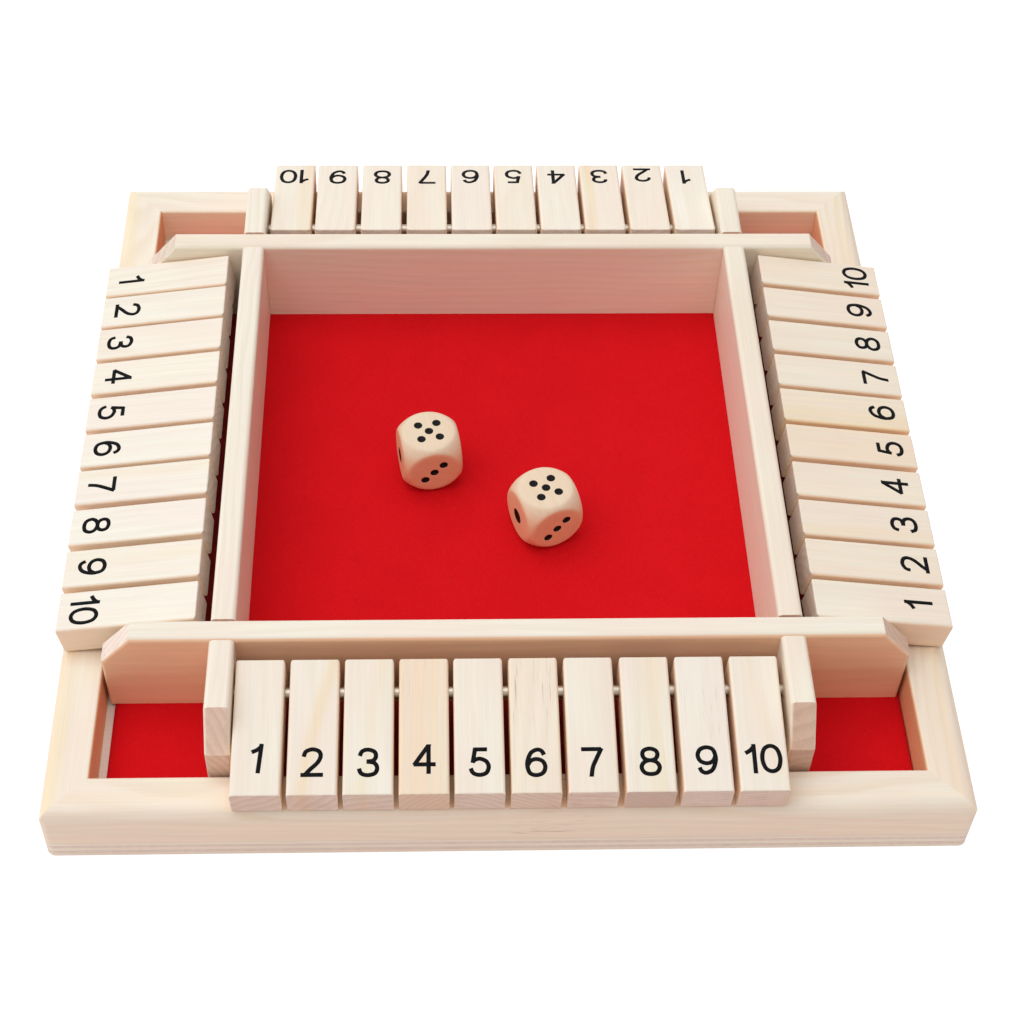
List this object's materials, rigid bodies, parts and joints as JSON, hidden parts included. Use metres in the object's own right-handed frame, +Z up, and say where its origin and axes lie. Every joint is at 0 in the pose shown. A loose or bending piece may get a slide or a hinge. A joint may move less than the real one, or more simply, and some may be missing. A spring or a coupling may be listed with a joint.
{
  "type": "shut the box game",
  "caption": "Square wooden shut the box game: a felt-lined tray with divider walls, number tiles on steel rods along each side that flip up to lean on the walls, and loose dice.",
  "frame": {"origin": "centre of the base board's underside", "axes": "+Z up out of the tray, -Y towards the player in front, +X to that player's right"},
  "size_m": [0.22, 0.22, 0.0334],
  "materials": {
    "plywood": "bare plywood, light and dark plies on the edge",
    "felt": "red wool felt",
    "frame_wood": "pale pine, clear satin varnish",
    "wall_wood": "pale pine, clear satin varnish",
    "rod_steel": "drawn steel, bright",
    "tile_wood": "pale pine, clear satin varnish",
    "die_wood": "pale beech, smooth, with black pips"
  },
  "bodies": {
    "tray": {"base_board": "plywood", "felt_lining": "felt", "frame_front": "frame_wood", "frame_right": "frame_wood", "frame_back": "frame_wood", "frame_left": "frame_wood", "wall_front": "wall_wood", "wall_right": "wall_wood", "wall_back": "wall_wood", "wall_left": "wall_wood", "rod_front": "rod_steel", "rod_right": "rod_steel", "rod_back": "rod_steel", "rod_left": "rod_steel"},
    "tile_front_1": {"tile_front_1": "tile_wood"},
    "tile_front_2": {"tile_front_2": "tile_wood"},
    "tile_front_3": {"tile_front_3": "tile_wood"},
    "tile_front_4": {"tile_front_4": "tile_wood"},
    "tile_front_5": {"tile_front_5": "tile_wood"},
    "tile_front_6": {"tile_front_6": "tile_wood"},
    "tile_front_7": {"tile_front_7": "tile_wood"},
    "tile_front_8": {"tile_front_8": "tile_wood"},
    "tile_front_9": {"tile_front_9": "tile_wood"},
    "tile_front_10": {"tile_front_10": "tile_wood"},
    "tile_right_1": {"tile_right_1": "tile_wood"},
    "tile_right_2": {"tile_right_2": "tile_wood"},
    "tile_right_3": {"tile_right_3": "tile_wood"},
    "tile_right_4": {"tile_right_4": "tile_wood"},
    "tile_right_5": {"tile_right_5": "tile_wood"},
    "tile_right_6": {"tile_right_6": "tile_wood"},
    "tile_right_7": {"tile_right_7": "tile_wood"},
    "tile_right_8": {"tile_right_8": "tile_wood"},
    "tile_right_9": {"tile_right_9": "tile_wood"},
    "tile_right_10": {"tile_right_10": "tile_wood"},
    "tile_back_1": {"tile_back_1": "tile_wood"},
    "tile_back_2": {"tile_back_2": "tile_wood"},
    "tile_back_3": {"tile_back_3": "tile_wood"},
    "tile_back_4": {"tile_back_4": "tile_wood"},
    "tile_back_5": {"tile_back_5": "tile_wood"},
    "tile_back_6": {"tile_back_6": "tile_wood"},
    "tile_back_7": {"tile_back_7": "tile_wood"},
    "tile_back_8": {"tile_back_8": "tile_wood"},
    "tile_back_9": {"tile_back_9": "tile_wood"},
    "tile_back_10": {"tile_back_10": "tile_wood"},
    "tile_left_1": {"tile_left_1": "tile_wood"},
    "tile_left_2": {"tile_left_2": "tile_wood"},
    "tile_left_3": {"tile_left_3": "tile_wood"},
    "tile_left_4": {"tile_left_4": "tile_wood"},
    "tile_left_5": {"tile_left_5": "tile_wood"},
    "tile_left_6": {"tile_left_6": "tile_wood"},
    "tile_left_7": {"tile_left_7": "tile_wood"},
    "tile_left_8": {"tile_left_8": "tile_wood"},
    "tile_left_9": {"tile_left_9": "tile_wood"},
    "tile_left_10": {"tile_left_10": "tile_wood"},
    "die_1": {"die_1": "die_wood"},
    "die_2": {"die_2": "die_wood"}
  },
  "joints": [
    {"name": "tile_front_1_flip", "type": "hinge", "parent": "tray", "child": "tile_front_1", "pos_m": [-0.05911, -0.0816, 0.0254], "axis": [-1, 0, 0], "range_deg": [0, 131]},
    {"name": "tile_front_2_flip", "type": "hinge", "parent": "tray", "child": "tile_front_2", "pos_m": [-0.04616, -0.0816, 0.0254], "axis": [-1, 0, 0], "range_deg": [0, 131]},
    {"name": "tile_front_3_flip", "type": "hinge", "parent": "tray", "child": "tile_front_3", "pos_m": [-0.03327, -0.0816, 0.0254], "axis": [-1, 0, 0], "range_deg": [0, 131]},
    {"name": "tile_front_4_flip", "type": "hinge", "parent": "tray", "child": "tile_front_4", "pos_m": [-0.02038, -0.0816, 0.0254], "axis": [-1, 0, 0], "range_deg": [0, 131]},
    {"name": "tile_front_5_flip", "type": "hinge", "parent": "tray", "child": "tile_front_5", "pos_m": [-0.00755, -0.0816, 0.0254], "axis": [-1, 0, 0], "range_deg": [0, 131]},
    {"name": "tile_front_6_flip", "type": "hinge", "parent": "tray", "child": "tile_front_6", "pos_m": [0.00553, -0.0816, 0.0254], "axis": [-1, 0, 0], "range_deg": [0, 131]},
    {"name": "tile_front_7_flip", "type": "hinge", "parent": "tray", "child": "tile_front_7", "pos_m": [0.01868, -0.0816, 0.0254], "axis": [-1, 0, 0], "range_deg": [0, 131]},
    {"name": "tile_front_8_flip", "type": "hinge", "parent": "tray", "child": "tile_front_8", "pos_m": [0.03201, -0.0816, 0.0254], "axis": [-1, 0, 0], "range_deg": [0, 131]},
    {"name": "tile_front_9_flip", "type": "hinge", "parent": "tray", "child": "tile_front_9", "pos_m": [0.04521, -0.0816, 0.0254], "axis": [-1, 0, 0], "range_deg": [0, 131]},
    {"name": "tile_front_10_flip", "type": "hinge", "parent": "tray", "child": "tile_front_10", "pos_m": [0.05829, -0.0816, 0.0254], "axis": [-1, 0, 0], "range_deg": [0, 124]},
    {"name": "tile_right_1_flip", "type": "hinge", "parent": "tray", "child": "tile_right_1", "pos_m": [0.0816, -0.05792, 0.0254], "axis": [0, -1, 0], "range_deg": [0, 131]},
    {"name": "tile_right_2_flip", "type": "hinge", "parent": "tray", "child": "tile_right_2", "pos_m": [0.0816, -0.04496, 0.0254], "axis": [0, -1, 0], "range_deg": [0, 131]},
    {"name": "tile_right_3_flip", "type": "hinge", "parent": "tray", "child": "tile_right_3", "pos_m": [0.0816, -0.03213, 0.0254], "axis": [0, -1, 0], "range_deg": [0, 131]},
    {"name": "tile_right_4_flip", "type": "hinge", "parent": "tray", "child": "tile_right_4", "pos_m": [0.0816, -0.01924, 0.0254], "axis": [0, -1, 0], "range_deg": [0, 131]},
    {"name": "tile_right_5_flip", "type": "hinge", "parent": "tray", "child": "tile_right_5", "pos_m": [0.0816, -0.0061, 0.0254], "axis": [0, -1, 0], "range_deg": [0, 131]},
    {"name": "tile_right_6_flip", "type": "hinge", "parent": "tray", "child": "tile_right_6", "pos_m": [0.0816, 0.00685, 0.0254], "axis": [0, -1, 0], "range_deg": [0, 131]},
    {"name": "tile_right_7_flip", "type": "hinge", "parent": "tray", "child": "tile_right_7", "pos_m": [0.0816, 0.01975, 0.0254], "axis": [0, -1, 0], "range_deg": [0, 131]},
    {"name": "tile_right_8_flip", "type": "hinge", "parent": "tray", "child": "tile_right_8", "pos_m": [0.0816, 0.03283, 0.0254], "axis": [0, -1, 0], "range_deg": [0, 131]},
    {"name": "tile_right_9_flip", "type": "hinge", "parent": "tray", "child": "tile_right_9", "pos_m": [0.0816, 0.04597, 0.0254], "axis": [0, -1, 0], "range_deg": [0, 131]},
    {"name": "tile_right_10_flip", "type": "hinge", "parent": "tray", "child": "tile_right_10", "pos_m": [0.0816, 0.05911, 0.0254], "axis": [0, -1, 0], "range_deg": [0, 124]},
    {"name": "tile_back_1_flip", "type": "hinge", "parent": "tray", "child": "tile_back_1", "pos_m": [0.05867, 0.0816, 0.0254], "axis": [1, 0, 0], "range_deg": [0, 131]},
    {"name": "tile_back_2_flip", "type": "hinge", "parent": "tray", "child": "tile_back_2", "pos_m": [0.04565, 0.0816, 0.0254], "axis": [1, 0, 0], "range_deg": [0, 131]},
    {"name": "tile_back_3_flip", "type": "hinge", "parent": "tray", "child": "tile_back_3", "pos_m": [0.03257, 0.0816, 0.0254], "axis": [1, 0, 0], "range_deg": [0, 131]},
    {"name": "tile_back_4_flip", "type": "hinge", "parent": "tray", "child": "tile_back_4", "pos_m": [0.01968, 0.0816, 0.0254], "axis": [1, 0, 0], "range_deg": [0, 131]},
    {"name": "tile_back_5_flip", "type": "hinge", "parent": "tray", "child": "tile_back_5", "pos_m": [0.00679, 0.0816, 0.0254], "axis": [1, 0, 0], "range_deg": [0, 131]},
    {"name": "tile_back_6_flip", "type": "hinge", "parent": "tray", "child": "tile_back_6", "pos_m": [-0.00616, 0.0816, 0.0254], "axis": [1, 0, 0], "range_deg": [0, 131]},
    {"name": "tile_back_7_flip", "type": "hinge", "parent": "tray", "child": "tile_back_7", "pos_m": [-0.01924, 0.0816, 0.0254], "axis": [1, 0, 0], "range_deg": [0, 131]},
    {"name": "tile_back_8_flip", "type": "hinge", "parent": "tray", "child": "tile_back_8", "pos_m": [-0.03251, 0.0816, 0.0254], "axis": [1, 0, 0], "range_deg": [0, 131]},
    {"name": "tile_back_9_flip", "type": "hinge", "parent": "tray", "child": "tile_back_9", "pos_m": [-0.04578, 0.0816, 0.0254], "axis": [1, 0, 0], "range_deg": [0, 131]},
    {"name": "tile_back_10_flip", "type": "hinge", "parent": "tray", "child": "tile_back_10", "pos_m": [-0.05861, 0.0816, 0.0254], "axis": [1, 0, 0], "range_deg": [0, 124]},
    {"name": "tile_left_1_flip", "type": "hinge", "parent": "tray", "child": "tile_left_1", "pos_m": [-0.0816, 0.05917, 0.0254], "axis": [0, 1, 0], "range_deg": [0, 131]},
    {"name": "tile_left_2_flip", "type": "hinge", "parent": "tray", "child": "tile_left_2", "pos_m": [-0.0816, 0.04685, 0.0254], "axis": [0, 1, 0], "range_deg": [0, 131]},
    {"name": "tile_left_3_flip", "type": "hinge", "parent": "tray", "child": "tile_left_3", "pos_m": [-0.0816, 0.03427, 0.0254], "axis": [0, 1, 0], "range_deg": [0, 131]},
    {"name": "tile_left_4_flip", "type": "hinge", "parent": "tray", "child": "tile_left_4", "pos_m": [-0.0816, 0.02138, 0.0254], "axis": [0, 1, 0], "range_deg": [0, 131]},
    {"name": "tile_left_5_flip", "type": "hinge", "parent": "tray", "child": "tile_left_5", "pos_m": [-0.0816, 0.0083, 0.0254], "axis": [0, 1, 0], "range_deg": [0, 131]},
    {"name": "tile_left_6_flip", "type": "hinge", "parent": "tray", "child": "tile_left_6", "pos_m": [-0.0816, -0.00465, 0.0254], "axis": [0, 1, 0], "range_deg": [0, 131]},
    {"name": "tile_left_7_flip", "type": "hinge", "parent": "tray", "child": "tile_left_7", "pos_m": [-0.0816, -0.01741, 0.0254], "axis": [0, 1, 0], "range_deg": [0, 131]},
    {"name": "tile_left_8_flip", "type": "hinge", "parent": "tray", "child": "tile_left_8", "pos_m": [-0.0816, -0.03068, 0.0254], "axis": [0, 1, 0], "range_deg": [0, 131]},
    {"name": "tile_left_9_flip", "type": "hinge", "parent": "tray", "child": "tile_left_9", "pos_m": [-0.0816, -0.04408, 0.0254], "axis": [0, 1, 0], "range_deg": [0, 131]},
    {"name": "tile_left_10_flip", "type": "hinge", "parent": "tray", "child": "tile_left_10", "pos_m": [-0.0816, -0.05729, 0.0254], "axis": [0, 1, 0], "range_deg": [0, 124]},
    {"name": "die_1_lift", "type": "slide", "parent": "tray", "child": "die_1", "axis": [0, 0, 1], "range_m": [0, 0.06]},
    {"name": "die_2_lift", "type": "slide", "parent": "tray", "child": "die_2", "axis": [0, 0, 1], "range_m": [0, 0.06]}
  ]
}
